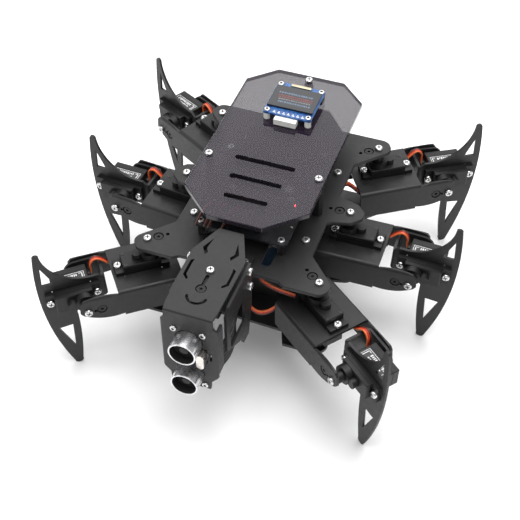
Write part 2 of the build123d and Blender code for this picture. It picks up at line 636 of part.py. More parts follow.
# ---- head ----------------------------------------------------------------------------------
def neck_bracket():
    """Fixed neck: a ledge for the pan servo between two open cheeks, screwed to the deck."""
    ledge = Plane.XY.offset(DECK_Z + NECK_RISE)
    inner = 2 * (CHEEK_HALF - SHEET)
    with BuildPart() as neck:
        with BuildSketch(ledge):
            with Locations((0, -88.5)):
                Rectangle(inner + 0.2, 29.0)
            with Locations((0, -69.2)):
                Rectangle(24.0, 9.6)
        extrude(amount=-SHEET)
        block(Plane.XY.offset(DECK_Z), (24.0, SHEET, NECK_RISE), (0, -65.2))
        block(Plane.XY.offset(DECK_Z), (24.0, 11.6, SHEET), (0, -60.2))
        for side in (1, -1):
            with BuildSketch(Plane(origin=(side * (CHEEK_HALF - SHEET / 2), 0, DECK_Z), x_dir=(0, 1, 0),
                                   z_dir=(1, 0, 0))):
                with BuildLine():
                    Polyline((-113.0, 14.0), (-113.0, -14.0), (-90.0, -29.0), (-88.0, -34.5),
                             (-80.0, -34.5), (-78.0, -26.5), (-74.5, -14.0), (-74.5, 18.0), (-109.0, 18.0),
                             close=True)
                make_face()
                with Locations((-97.0, -8.0)):
                    RectangleRounded(22.0, 19.0, 3.0, mode=Mode.SUBTRACT)
                with Locations((-77.6, 14.6), (-77.6, 3.0)):
                    Circle(1.1, mode=Mode.SUBTRACT)
            extrude(amount=SHEET / 2, both=True)
        middle = PAN_Y + SERVO_LONG / 2 - SERVO_BACK
        block(ledge, (SERVO_WIDE + 0.4, SERVO_LONG + 0.4, -SHEET), (0, middle), Mode.SUBTRACT)
        for y in EAR_HOLES:
            disc(ledge, SCREW_R + 0.1, -SHEET, (0, PAN_Y + y), Mode.SUBTRACT)
        for at in NECK_SCREWS:
            disc(Plane.XY.offset(DECK_Z), SCREW_R + 0.1, SHEET, at, Mode.SUBTRACT)
    return neck.part


def cheek_screws():
    """Screws in the rear edge of the cheeks."""
    screws = []
    for side in (1, -1):
        face = Plane(origin=(side * CHEEK_HALF, 0, DECK_Z), x_dir=(0, side, 0), z_dir=(side, 0, 0))
        screws += [pan_screw(face, (side * -77.6, z), 2.4) for z in (14.6, 3.0)]
    return screws


def head_shell():
    """Turning head sheet: the tongue over the pan servo, folded down into the front plate."""
    top = Plane.XY.offset(DECK_Z + TONGUE_TOP)
    with BuildPart() as shell:
        with BuildSketch(top) as tongue:
            with BuildLine():
                Polyline((-14.0, FACE_Y + 1.0), (-14.8, -118.0), (-15.6, -86.0), (-15.6, -79.0), (-7.4, -59.0),
                         (7.4, -59.0), (15.6, -79.0), (15.6, -86.0), (14.8, -118.0), (14.0, FACE_Y + 1.0),
                         close=True)
            make_face()
            with Locations((0, -99.0)):
                SlotOverall(9.0, 2.2, rotation=90, mode=Mode.SUBTRACT)
            with Locations((0, -104.9)):
                Circle(3.1, mode=Mode.SUBTRACT)
            with Locations((0, PAN_Y)):
                Circle(SCREW_R + 0.1, mode=Mode.SUBTRACT)
            for side in (1, -1):
                with BuildLine():
                    Polyline((side * 7.0, -67.0), (side * 10.6, -75.4), (side * 7.6, -80.6), (side * 6.4, -78.4),
                             (side * 8.2, -75.6), close=True)
                make_face(mode=Mode.SUBTRACT)
                with BuildLine():
                    Polyline((side * 11.2, -85.6), (side * 13.2, -86.8), (side * 13.2, -98.2),
                             (side * 10.2, -101.2), (side * 9.6, -99.8), (side * 11.6, -97.4),
                             (side * 11.6, -88.6), close=True)
                make_face(mode=Mode.SUBTRACT)
            with BuildLine():
                smile = CenterArc((0, -110.4), 5.6, 195, 150)
                offset(smile, 0.8)
            make_face(mode=Mode.SUBTRACT)
        extrude(amount=-SHEET)
        front = Plane(origin=(0, FACE_Y, DECK_Z), x_dir=(1, 0, 0), z_dir=(0, -1, 0))
        with BuildSketch(front):
            with BuildLine():
                Polyline((-14.0, TONGUE_TOP), (-14.0, 16.6), (-FACE_HALF, 13.6), (-FACE_HALF, -24.0),
                         (-12.0, -29.0), (-11.4, -35.6), (11.4, -35.6), (12.0, -29.0), (FACE_HALF, -24.0),
                         (FACE_HALF, 13.6), (14.0, 16.6), (14.0, TONGUE_TOP), close=True)
            make_face()
            with Locations((0, SONAR_Z + CAN_APART / 2), (0, SONAR_Z - CAN_APART / 2)):
                Circle(CAN_R + 0.3, mode=Mode.SUBTRACT)
            with Locations(*sonar_holes()):
                Circle(SCREW_R + 0.1, mode=Mode.SUBTRACT)
            with Locations((8.0, SONAR_Z + 3.6)):
                RectangleRounded(5.4, 12.0, 1.5, mode=Mode.SUBTRACT)
            with Locations((12.4, SONAR_Z + 4.0)):
                RectangleRounded(1.4, 6.4, 0.6, mode=Mode.SUBTRACT)
        extrude(amount=-SHEET)
        for side in (1, -1):
            block(Plane.XY.offset(DECK_Z - 22.0), (SHEET, FLANGE_DEEP, 34.0),
                  (side * (FACE_HALF - SHEET / 2), FACE_Y + FLANGE_DEEP / 2))
        fold = shell.edges().filter_by(Axis.X).sort_by(lambda e: e.center().Z - e.center().Y)[-1]
        bends = shell.edges().filter_by(Axis.Z).group_by(Axis.Y)[0].sort_by(Axis.X)
        fillet([fold, bends[0], bends[-1]], 1.4)
    return shell.part


def sonar_holes():
    """The sonar board's corner holes, in front-plate units."""
    return [(x, SONAR_Z + z) for x in (-8.4, 8.4) for z in (-20.9, 20.9)]


def sonar_module():
    """Sonar board with its two cans and crystal; it hangs behind the front plate."""
    back = Plane(origin=(0, FACE_Y + SHEET + 1.6, DECK_Z), x_dir=(1, 0, 0), z_dir=(0, -1, 0))
    with BuildPart() as sonar:
        block(back, (20.0, 45.4, 1.6), (0, SONAR_Z))
        for z in (SONAR_Z + CAN_APART / 2, SONAR_Z - CAN_APART / 2):
            disc(back.offset(1.6), CAN_R, CAN_LONG, (0, z))
            disc(back.offset(1.6 + CAN_LONG), CAN_R - CAN_RIM, -CAN_HOLLOW, (0, z), Mode.SUBTRACT)
            rim = sonar.edges().filter_by(GeomType.CIRCLE).group_by(Axis.Y)[0]
        fillet(rim, CAN_RIM * 0.4)
        with BuildSketch(back.offset(1.6)):
            with Locations((8.0, SONAR_Z + 3.6)):
                SlotOverall(10.6, 4.4, rotation=90)
        extrude(amount=CRYSTAL_LONG)
        for at in sonar_holes():
            disc(back, SCREW_R + 0.1, 1.6, at, Mode.SUBTRACT)
    return sonar.part


def head_horn():
    """Pan horn under the tongue, with its sunk arm screw."""
    base = Plane(origin=(0, PAN_Y, DECK_Z + NECK_RISE), x_dir=(0, 1, 0), z_dir=(0, 0, 1))
    seat = TONGUE_TOP - SHEET - NECK_RISE
    return group(horn(base, seat), horn_arm_screw(base.offset(seat + SHEET), (-13.7, 0)))


def head_screws():
    """Screws that turn with the head."""
    top = Plane.XY.offset(DECK_Z + TONGUE_TOP)
    face = Plane(origin=(0, FACE_Y, DECK_Z), x_dir=(1, 0, 0), z_dir=(0, -1, 0))
    return group(pan_screw(top, (0, PAN_Y), SHEET + 2.2),
                 *[pan_screw(face, at, SHEET + 2.4, SCREW_R, 1.9, 1.2) for at in sonar_holes()])


# ---- write every node ------------------------------------------------------------------------
LEG_PIECES = {
    "hip_bracket": hip_bracket(),
    "hip_servo": group(servo(HIP_BASE)),
    "hip_screws": hip_screws(),
    "knee_horn": knee_horn(),
    "claw_bracket": claw_bracket(),
    "knee_servo": group(servo(KNEE_BASE), *ear_screws(KNEE_BASE, 4.6)),
    "knee_lead": knee_lead(),
}
for leg in LEG_YAW:
    for name, piece in LEG_PIECES.items():
        save(at_leg(piece, leg), f"{leg}_{name}")

pan_base = Plane(origin=(0, PAN_Y, DECK_Z + NECK_RISE), x_dir=(0, 1, 0), z_dir=(0, 0, 1))
BODY_PIECES = {
    "upper_plate": upper_plate(),
    "lower_plate": lower_plate(),
    "hip_pivot_posts": hip_pivot_posts(),
    "hip_horns": hip_horns(),
    "standoffs": standoffs(),
    "body_screws": body_screws(),
    "hip_leads": hip_leads(),
    "head_leads": head_leads(),
    "control_board": control_board(),
    "battery_pack": battery_pack(),
    "cover_plate": cover_plate(),
    "display_module": display_module(),
    "neck_bracket": neck_bracket(),
    "head_servo": servo(pan_base),
    "head_shell": head_shell(),
    "sonar_module": sonar_module(),
    "head_horn": head_horn(),
    "head_screws": head_screws(),
}
for name, piece in BODY_PIECES.items():
    save(piece, name)
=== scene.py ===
"""Looks of the hexapod walking robot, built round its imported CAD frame. Metres, +Z up, head along -Y."""

import json
import math
import random

import bmesh
import bpy
from mathutils import Matrix, Vector


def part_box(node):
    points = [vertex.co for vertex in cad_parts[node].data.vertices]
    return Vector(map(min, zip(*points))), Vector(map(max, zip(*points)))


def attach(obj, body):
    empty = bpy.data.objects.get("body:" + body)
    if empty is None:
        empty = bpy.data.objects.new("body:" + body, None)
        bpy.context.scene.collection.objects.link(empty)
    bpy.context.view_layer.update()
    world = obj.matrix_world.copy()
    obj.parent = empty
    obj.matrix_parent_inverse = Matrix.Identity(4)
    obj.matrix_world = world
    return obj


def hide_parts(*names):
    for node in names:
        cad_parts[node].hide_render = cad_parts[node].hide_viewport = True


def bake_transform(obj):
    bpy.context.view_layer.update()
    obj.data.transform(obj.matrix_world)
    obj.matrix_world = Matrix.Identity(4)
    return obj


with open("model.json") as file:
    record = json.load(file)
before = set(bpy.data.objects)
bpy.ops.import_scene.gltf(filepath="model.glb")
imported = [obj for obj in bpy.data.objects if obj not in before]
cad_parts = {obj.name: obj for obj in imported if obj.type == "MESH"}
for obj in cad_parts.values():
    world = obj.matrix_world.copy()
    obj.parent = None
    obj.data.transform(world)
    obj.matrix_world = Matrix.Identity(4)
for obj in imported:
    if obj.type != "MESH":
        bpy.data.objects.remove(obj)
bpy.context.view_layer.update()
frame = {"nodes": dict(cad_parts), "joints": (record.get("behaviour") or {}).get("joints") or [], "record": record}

MM = 0.001
JOINTS = {joint["name"]: joint for joint in frame["joints"]}
LEGS = [name[: -len("_knee_lift")] for name in JOINTS if name.endswith("_knee_lift")]
NODES = frame["nodes"]

# ---- places worked out from the frame --------------------------------------------------------
PLATE_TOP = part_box("upper_plate")[1].z
CHANNEL_TOP = PLATE_TOP - 19.2 * MM
KNEE_Z = JOINTS["right_front_knee_lift"]["pos_m"][2]
HIP_TO_KNEE = 42.4 * MM
KNEE_REST = math.radians(3.0)
CLAW_FACE = 1.6 * MM
PAN_FROM_HIPS = 91.2 * MM           # the pan axis, ahead of the middle hips
SHIFT_Y = JOINTS["head_pan"]["pos_m"][1] + PAN_FROM_HIPS     # the middle hips' row
AXIS_R = 0.0001 * MM                # radius of a turned profile at its axis


# ---- camera ----------------------------------------------------------------------------------
def make_camera():
    """The viewing angle: from the front right, looking down."""
    data = bpy.data.cameras.new("camera")
    data.lens = 83.1
    data.sensor_width = 36.0
    data.shift_x = 0.0068
    data.shift_y = 0.0011
    data.clip_start = 0.01
    camera = bpy.data.objects.new("camera", data)
    bpy.context.scene.collection.objects.link(camera)
    azimuth, elevation, roll = math.radians(20.44), math.radians(46.385), math.radians(-0.584)
    turn = (Matrix.Rotation(azimuth, 4, "Z") @ Matrix.Rotation(math.pi / 2 - elevation, 4, "X")
            @ Matrix.Rotation(roll, 4, "Z"))
    camera.matrix_world = Matrix.Translation((0.1785, SHIFT_Y - 0.4987, PLATE_TOP + 0.4965)) @ turn
    bpy.context.scene.camera = camera


# ---- mesh helpers ----------------------------------------------------------------------------
def new_piece(name, mesh_or_bm, materials, body, smooth=30.0):
    """A finished mesh as a piece that rides on a body."""
    if isinstance(mesh_or_bm, bmesh.types.BMesh):
        mesh = bpy.data.meshes.new(name)
        mesh_or_bm.to_mesh(mesh)
        mesh_or_bm.free()
    else:
        mesh = mesh_or_bm
    piece = bpy.data.objects.new(name, mesh)
    bpy.context.scene.collection.objects.link(piece)
    for material in materials:
        mesh.materials.append(material)
    if smooth:
        mesh.shade_smooth()
        mesh.set_sharp_from_angle(angle=math.radians(smooth))
    if body:
        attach(piece, body)
    return piece


def add_block(bm, low, high, bevel=0.0, index=0):
    """A box with bevelled edges between two corners."""
    low, high = Vector(low), Vector(high)
    made = bmesh.ops.create_cube(bm, size=1.0)["verts"]
    size = high - low
    for vert in made:
        vert.co = Vector(a * b for a, b in zip(vert.co, size)) + (low + high) / 2
    faces = {face for vert in made for face in vert.link_faces}
    if bevel:
        edges = list({edge for face in faces for edge in face.edges})
        cut = bmesh.ops.bevel(bm, geom=edges, offset=bevel, segments=2, profile=0.5, affect="EDGES")
        faces = {face for vert in cut["verts"] for face in vert.link_faces} | {f for f in faces if f.is_valid}
    for face in faces:
        face.material_index = index


def add_lathe(bm, profile, matrix, steps=48, index=0):
    """A closed profile of (radius, height) pairs turned about the matrix's z axis."""
    rings = []
    for step in range(steps):
        angle = 2 * math.pi * step / steps
        rings.append([bm.verts.new(matrix @ Vector((r * math.cos(angle), r * math.sin(angle), h)))
                      for r, h in profile])
    count = len(profile)
    for step in range(steps):
        here, there = rings[step], rings[(step + 1) % steps]
        for i in range(count):
            j = (i + 1) % count
            face = bm.faces.new((here[i], there[i], there[j], here[j]))
            face.material_index = index


def outward(bm):
    """Make every face look outwards, after a mirrored placement too."""
    bmesh.ops.recalc_face_normals(bm, faces=bm.faces)


def leg_frame(leg):
    """Leg frame: +X outwards from the hip, +Y to the rear, z from the floor."""
    hip = Vector(JOINTS[f"{leg}_hip_swing"]["pos_m"])
    knee = Vector(JOINTS[f"{leg}_knee_lift"]["pos_m"])
    side = 1 if hip.x > 0 else -1
    out = Vector((knee.x - hip.x, knee.y - hip.y, 0)).normalized()
    rear = Vector((-out.y, out.x, 0)) * side
    return Matrix(((out.x, rear.x, 0, hip.x), (out.y, rear.y, 0, hip.y), (0, 0, 1, 0), (0, 0, 0, 1)))


def knee_frame(leg):
    """Knee servo frame: +X along its case, +Y up, +Z to the near side, origin at the shaft."""
    tip = Matrix.Translation((HIP_TO_KNEE, -CLAW_FACE, KNEE_Z)) @ Matrix.Rotation(KNEE_REST, 4, "Y")
    return leg_frame(leg) @ tip @ Matrix.Rotation(math.pi / 2, 4, "X")


def spline_tube(name, points, radius, resolution=10):
    """A round tube as a mesh, along the NURBS spline of a route's points."""
    data = bpy.data.curves.new(name, "CURVE")
    data.dimensions = "3D"
    data.resolution_u = resolution
    data.bevel_depth = radius
    data.bevel_resolution = 4
    data.use_fill_caps = True
    spline = data.splines.new("NURBS")
    spline.points.add(len(points) - 1)
    for point, place in zip(spline.points, points):
        point.co = (*place, 1.0)
    spline.order_u = 3
    spline.use_endpoint_u = True
    holder = bpy.data.objects.new(name, data)
    bpy.context.scene.collection.objects.link(holder)
    mesh = bpy.data.meshes.new_from_object(holder.evaluated_get(bpy.context.evaluated_depsgraph_get()))
    bpy.data.objects.remove(holder)
    return mesh


def join_meshes(name, meshes):
    """Several meshes as one, the n-th in the n-th material."""
    bm = bmesh.new()
    for index, mesh in enumerate(meshes):
        mesh.polygons.foreach_set("material_index", [index] * len(mesh.polygons))
        bm.from_mesh(mesh)
        bpy.data.meshes.remove(mesh)
    joined = bpy.data.meshes.new(name)
    bm.to_mesh(joined)
    bm.free()
    return joined


# ---- materials -------------------------------------------------------------------------------
class Recipe:
    """Small helper for a Principled material with object-space noise."""

    def __init__(self, name, **sockets):
        self.material = bpy.data.materials.new(name)
        self.material.use_nodes = True
        self.tree = self.material.node_tree
        self.shader = self.tree.nodes["Principled BSDF"]
        for socket, value in sockets.items():
            self.shader.inputs[socket.replace("_", " ")].default_value = value
        self.place = self.tree.nodes.new("ShaderNodeTexCoord").outputs["Object"]

    def node(self, kind, **values):
        made = self.tree.nodes.new(kind)
        for key, value in values.items():
            setattr(made, key, value)
        return made

    def link(self, out, into):
        self.tree.links.new(out, into)

    def noise(self, scale, detail=4.0, rough=0.55, stretch=None):
        """Object-space noise, `scale` features to the metre."""
        noise = self.node("ShaderNodeTexNoise")
        noise.inputs["Scale"].default_value = scale
        noise.inputs["Detail"].default_value = detail
        noise.inputs["Roughness"].default_value = rough
        place = self.place
        if stretch:
            mapping = self.node("ShaderNodeMapping")
            mapping.inputs["Scale"].default_value = stretch
            self.link(place, mapping.inputs["Vector"])
            place = mapping.outputs["Vector"]
        self.link(place, noise.inputs["Vector"])
        return noise.outputs["Fac"]

    def ramp(self, value, stops):
        """Colours over a value."""
        ramp = self.node("ShaderNodeValToRGB")
        elements = ramp.color_ramp.elements
        while len(elements) < len(stops):
            elements.new(0.5)
        for element, (place, colour) in zip(elements, stops):
            element.position = place
            element.color = (*colour, 1.0)
        self.link(value, ramp.inputs["Fac"])
        return ramp.outputs["Color"]

    def spread(self, value, low, high):
        """A value mapped to low..high."""
        spread = self.node("ShaderNodeMapRange")
        spread.inputs["From Min"].default_value = 0.3
        spread.inputs["From Max"].default_value = 0.7
        spread.inputs["To Min"].default_value = low
        spread.inputs["To Max"].default_value = high
        self.link(value, spread.inputs["Value"])
        return spread.outputs["Result"]

    def colour(self, value, stops):
        self.link(self.ramp(value, stops), self.shader.inputs["Base Color"])

    def roughness(self, value, low, high):
        self.link(self.spread(value, low, high), self.shader.inputs["Roughness"])

    def bump(self, height, depth_mm, strength=1.0):
        bump = self.node("ShaderNodeBump")
        bump.inputs["Strength"].default_value = strength
        bump.inputs["Distance"].default_value = depth_mm * MM
        self.link(height, bump.inputs["Height"])
        self.link(bump.outputs["Normal"], self.shader.inputs["Normal"])


def grey(value, warm=0.0):
    return (value * (1 + warm), value, value * (1 - warm))


def powder_coat():
    """Fine-grained black powder coat on sheet metal."""
    coat = Recipe("powder_coat", Specular_IOR_Level=0.40)
    patches = coat.noise(60.0, 3.0)
    grain = coat.noise(3200.0, 3.0)
    coat.colour(patches, [(0.3, (0.008, 0.008, 0.009)), (0.7, (0.012, 0.012, 0.013))])
    coat.roughness(coat.noise(420.0, 5.0), 0.40, 0.52)
    coat.bump(grain, 0.035, 0.45)
    return coat.material


def servo_plastic():
    """Matt moulded black plastic with a faint texture."""
    case = Recipe("servo_plastic", Specular_IOR_Level=0.36)
    case.colour(case.noise(140.0), [(0.3, grey(0.004)), (0.7, grey(0.007))])
    case.roughness(case.noise(900.0), 0.40, 0.55)
    case.bump(case.noise(2600.0, 2.0), 0.02, 0.35)
    return case.material


def plated_steel():
    """Bright plated screws with fine turning marks."""
    steel = Recipe("screw_steel", Metallic=1.0)
    steel.colour(steel.noise(900.0), [(0.3, (0.55, 0.55, 0.55)), (0.7, (0.68, 0.68, 0.67))])
    steel.roughness(steel.noise(1500.0, 5.0), 0.16, 0.32)
    steel.bump(steel.noise(2400.0), 0.012, 0.3)
    return steel.material


def can_metal():
    """Drawn aluminium of the sonar cans, brushed round."""
    can = Recipe("sonar_metal", Metallic=1.0)
    can.colour(can.noise(240.0), [(0.3, (0.62, 0.62, 0.64)), (0.7, (0.76, 0.76, 0.78))])
    can.roughness(can.noise(700.0, 6.0, 0.6, (1.0, 7.0, 1.0)), 0.20, 0.36)
    can.bump(can.noise(2200.0, 3.0, 0.5, (1.0, 9.0, 1.0)), 0.01, 0.3)
    return can.material


def pillar_metal():
    """Black-plated hexagonal pillars."""
    pillar = Recipe("pillar_metal", Metallic=0.7)
    pillar.colour(pillar.noise(300.0), [(0.3, grey(0.025)), (0.7, grey(0.045))])
    pillar.roughness(pillar.noise(1300.0), 0.28, 0.42)
    return pillar.material


def smoked_acrylic():
    """Smoke-tinted acrylic: what is behind it shows through, darkened."""
    sheet = Recipe("smoked_acrylic", Roughness=0.05, IOR=1.49, Alpha=0.66)
    sheet.colour(sheet.noise(18.0, 2.0), [(0.3, (0.014, 0.008, 0.018)), (0.7, (0.018, 0.011, 0.023))])
    return sheet.material


def plain_plastic(name, low, high, rough=(0.35, 0.5), scale=260.0, **sockets):
    """Moulded plastic between two close colours."""
    part = Recipe(name, **sockets)
    part.colour(part.noise(scale), [(0.3, low), (0.7, high)])
    part.roughness(part.noise(1100.0), *rough)
    part.bump(part.noise(2400.0, 2.0), 0.015, 0.3)
    return part.material


def glow(name, colour, strength):
    """A lit lamp or screen segment."""
    lamp = Recipe(name, Roughness=0.4)
    lamp.colour(lamp.noise(800.0), [(0.3, colour), (0.7, tuple(c * 0.8 for c in colour))])
    lamp.shader.inputs["Emission Color"].default_value = (*colour, 1.0)
    lamp.shader.inputs["Emission Strength"].default_value = strength
    return lamp.material


def circuit_board(name, low, high):
    """Solder mask over faint copper tracks."""
    board = Recipe(name, Specular_IOR_Level=0.6)
    tracks = board.node("ShaderNodeTexVoronoi", feature="DISTANCE_TO_EDGE")
    tracks.inputs["Scale"].default_value = 260.0
    board.link(board.place, tracks.inputs["Vector"])
    board.colour(tracks.outputs["Distance"], [(0.02, high), (0.10, low)])
    board.roughness(board.noise(900.0), 0.28, 0.42)
    board.bump(tracks.outputs["Distance"], 0.02, 0.3)
    return board.material


COAT = powder_coat()
PLASTIC = servo_plastic()
STEEL = plated_steel()
CAN = can_metal()
PILLAR = pillar_metal()
ACRYLIC = smoked_acrylic()
ACRYLIC_EDGE = plain_plastic("acrylic_edge", (0.014, 0.012, 0.016), (0.022, 0.019, 0.025),
                             (0.12, 0.2), 120.0)
BOARD = circuit_board("control_board_mask", (0.006, 0.007, 0.009), (0.016, 0.018, 0.022))
BLUE_BOARD = circuit_board("display_board_mask", (0.010, 0.060, 0.22), (0.03, 0.13, 0.36))
GLASS = plain_plastic("display_glass", (0.012, 0.013, 0.016), (0.016, 0.017, 0.020), (0.03, 0.06), 90.0)
WHITE = plain_plastic("white_nylon", (0.72, 0.72, 0.69), (0.80, 0.80, 0.77))
BRASS = plain_plastic("gilt_pads", (0.50, 0.42, 0.28), (0.60, 0.52, 0.38), (0.3, 0.4), Metallic=1.0)
CRYSTAL = plain_plastic("crystal_can", (0.66, 0.62, 0.58), (0.78, 0.74, 0.70), (0.22, 0.34), Metallic=1.0)
# painted shade: a dark grey for the recess faces of screw heads, in place of the shade inside them
RECESS_PAINTED_SHADE = plain_plastic("screw_recess_painted_shade", grey(0.012), grey(0.022), (0.4, 0.6))
DARK_WELL = plain_plastic("can_inside", grey(0.004), grey(0.008), (0.6, 0.8))
HEADER = plain_plastic("header_plastic", grey(0.010), grey(0.016), (0.3, 0.45))
CELL = plain_plastic("cell_sleeve", (0.02, 0.05, 0.10), (0.03, 0.07, 0.13), (0.25, 0.4))
ORANGE = plain_plastic("lead_orange", (0.62, 0.115, 0.030), (0.76, 0.160, 0.045), (0.32, 0.45), 900.0)
RED = plain_plastic("lead_red", (0.40, 0.022, 0.012), (0.50, 0.034, 0.018), (0.32, 0.45), 900.0)
BROWN = plain_plastic("lead_brown", (0.050, 0.016, 0.008), (0.080, 0.026, 0.013), (0.35, 0.5), 900.0)
JACKET = plain_plastic("black_jacket", grey(0.012), grey(0.020), (0.35, 0.5), 700.0)
LABEL = plain_plastic("label_film", grey(0.013), grey(0.018), (0.22, 0.3), 300.0)
PRINT = plain_plastic("label_print", grey(0.52), grey(0.66), (0.4, 0.5), 500.0)
LED = glow("power_lamp", (1.0, 0.05, 0.06), 40.0)
PIXELS = [glow("pixels_blue", (0.10, 0.15, 0.22), 0.12), glow("pixels_red", (0.20, 0.035, 0.035), 0.10),
          glow("pixels_white", (0.16, 0.17, 0.19), 0.12)]


# ---- finishes of the CAD nodes ---------------------------------------------------------------
def finish_node(name, base, *rules):
    """Give a node its material, and faces that pass a rule's test another one."""
    node = NODES[name]
    node.data.materials.clear()
    node.data.materials.append(base)
    for material, _ in rules:
        node.data.materials.append(material)
    for face in node.data.polygons:
        face.material_index = 0
        for index, (_, test) in enumerate(rules, 1):
            if test(face):
                face.material_index = index


SLOT_OF = {part["node"]: part["material_slot"] for part in frame["record"]["subparts"]}
BY_SLOT = {"powder_coat": COAT, "servo_plastic": PLASTIC, "screw_steel": STEEL, "pillar_metal": PILLAR,
           "smoked_acrylic": ACRYLIC, "lead_jacket": ORANGE, "black_jacket": JACKET}


def loose_parts(mesh):
    """The face lists of a mesh's unconnected solids, corners at one place taken as one."""
    above = {}

    def root(corner):
        while above[corner] != corner:
            above[corner] = above[above[corner]]
            corner = above[corner]
        return corner

    spots = [tuple(round(c * 1e6) for c in vertex.co) for vertex in mesh.vertices]
    for spot in spots:
        above[spot] = spot
    for face in mesh.polygons:
        first = root(spots[face.vertices[0]])
        for corner in face.vertices[1:]:
            above[root(spots[corner])] = first
    parts = {}
    for face in mesh.polygons:
        parts.setdefault(root(spots[face.vertices[0]]), []).append(face.index)
    return list(parts.values())


SCREW_SPAN = 14 * MM                 # no screw is longer
HEAD_HIGH = 1.9 * MM                 # and no head is higher
RECESS_DEPTHS = (0.03 * MM, 1.05 * MM)
RECESS_SHARE = 0.62                  # a recess's reach, as a share of its head's radius


def small_parts(mesh, limit=SCREW_SPAN):
    """Loose parts of screw size."""
    found = []
    for part in loose_parts(mesh):
        points = [mesh.vertices[i].co for face in part for i in mesh.polygons[face].vertices]
        if all(max(p[axis] for p in points) - min(p[axis] for p in points) < limit for axis in range(3)):
            found.append(part)
    return found


def screw_axis(faces):
    """The direction that most of a screw's flat area faces."""
    ways = {}
    for face in faces:
        key = tuple(round(abs(c), 2) for c in face.normal)
        ways.setdefault(key, []).append(face)
    flattest = max(ways.values(), key=lambda group: sum(face.area for face in group))
    return max(flattest, key=lambda face: face.area).normal.copy()


def head_end(points, along):
    """(sign, height) of a screw's wider end along its axis."""
    ends = []
    for sign, end in ((1, max(along)), (-1, min(along))):
        near = [p for p, height in zip(points, along) if abs(height - end) < HEAD_HIGH]
        ends.append((max((p - near[0]).length for p in near), sign, end))
    return max(ends)[1:]


def recess_faces(mesh, parts):
    """Faces of the recesses in the heads of a mesh's screws, the faces that get painted shade."""
    recesses = set()
    for part in parts:
        faces = [mesh.polygons[i] for i in part]
        axis = screw_axis(faces)
        points = [mesh.vertices[i].co for face in faces for i in face.vertices]
        sign, top = head_end(points, [p.dot(axis) for p in points])
        flat = [p - axis * p.dot(axis) for p in points]
        corner_low = Vector([min(p[i] for p in flat) for i in range(3)])
        corner_high = Vector([max(p[i] for p in flat) for i in range(3)])
        middle = (corner_low + corner_high) / 2
        reach = max((p - middle).length for p in flat)
        for face in faces:
            depth = sign * (top - face.center.dot(axis))
            away = (face.center - axis * face.center.dot(axis) - middle).length
            if RECESS_DEPTHS[0] < depth < RECESS_DEPTHS[1] and away < RECESS_SHARE * reach:
                recesses.add(face.index)
    return recesses


def finish_screws(name, base):
    """Bright screw heads with painted shade in their recesses, on a base."""
    mesh = NODES[name].data
    parts = small_parts(mesh)
    screws = {face for part in parts for face in part}
    recesses = recess_faces(mesh, parts)
    finish_node(name, base, (STEEL, lambda face: face.index in screws),
                # the recess faces get the painted shade, a dark grey standing in for the shade inside them
                (RECESS_PAINTED_SHADE, lambda face: face.index in recesses))


def finish_nodes():
    """Every CAD node's finish, by its slot or by its faces."""
    for name, slot in SLOT_OF.items():
        if slot == "screw_steel":
            finish_screws(name, STEEL)
        elif slot in BY_SLOT:
            finish_node(name, BY_SLOT[slot])
    for leg in LEGS:
        # the knee servos' screws get painted shade in their recesses too
        finish_screws(f"{leg}_knee_servo", PLASTIC)
    finish_node("cover_plate", ACRYLIC, (ACRYLIC_EDGE, lambda face: abs(face.normal.z) < 0.5))
    low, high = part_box("display_module")
    board_top = high.z - 1.5 * MM
    finish_node(
        "display_module", BLUE_BOARD,
        (STEEL, lambda face: face.center.z < board_top - 1.25 * MM),
        (WHITE, lambda face: face.center.z < board_top - 1.15 * MM and face.center.y < low.y + 5.3 * MM),
        (GLASS, lambda face: face.center.z > board_top + 0.05 * MM),
    )
    board_back = SONAR_HIGH.y
    crystal_x = 5.2 * MM
    finish_node(
        "sonar_module", CAN,
        (BLUE_BOARD, lambda face: face.center.y > board_back - 1.65 * MM),
        (CRYSTAL, lambda face: face.center.x > crystal_x and face.center.y > board_back - 8.4 * MM
         and is_crystal(face.center)),
        (DARK_WELL, lambda face: in_can(face.center)),
    )
    mask_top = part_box("control_board")[0].z + 1.62 * MM
    finish_node("control_board", BOARD, (HEADER, lambda face: face.center.z > mask_top))
    holder_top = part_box("lower_plate")[1].z + 16.6 * MM
    finish_node("battery_pack", HEADER, (CELL, lambda face: face.center.z > holder_top))


SONAR_LOW, SONAR_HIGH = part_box("sonar_module")
SONAR_MIDDLE = (SONAR_LOW + SONAR_HIGH) / 2
SONAR_FRONT = SONAR_LOW.y
CAN_HALF_APART = 13.0 * MM


def can_centres():
    """Heights of the two cans' middles."""
    return [SONAR_MIDDLE.z + sign * CAN_HALF_APART for sign in (1, -1)]


def is_crystal(place):
    """On the crystal's can and not on a sonar can."""
    return all(math.hypot(place.x, place.z - z) > 8.05 * MM for z in can_centres())


def in_can(place):
    """Inside a sonar can's open end."""
    return SONAR_FRONT + 0.2 * MM < place.y < SONAR_FRONT + 5.1 * MM and any(
        math.hypot(place.x, place.z - z) < 7.05 * MM for z in can_centres())


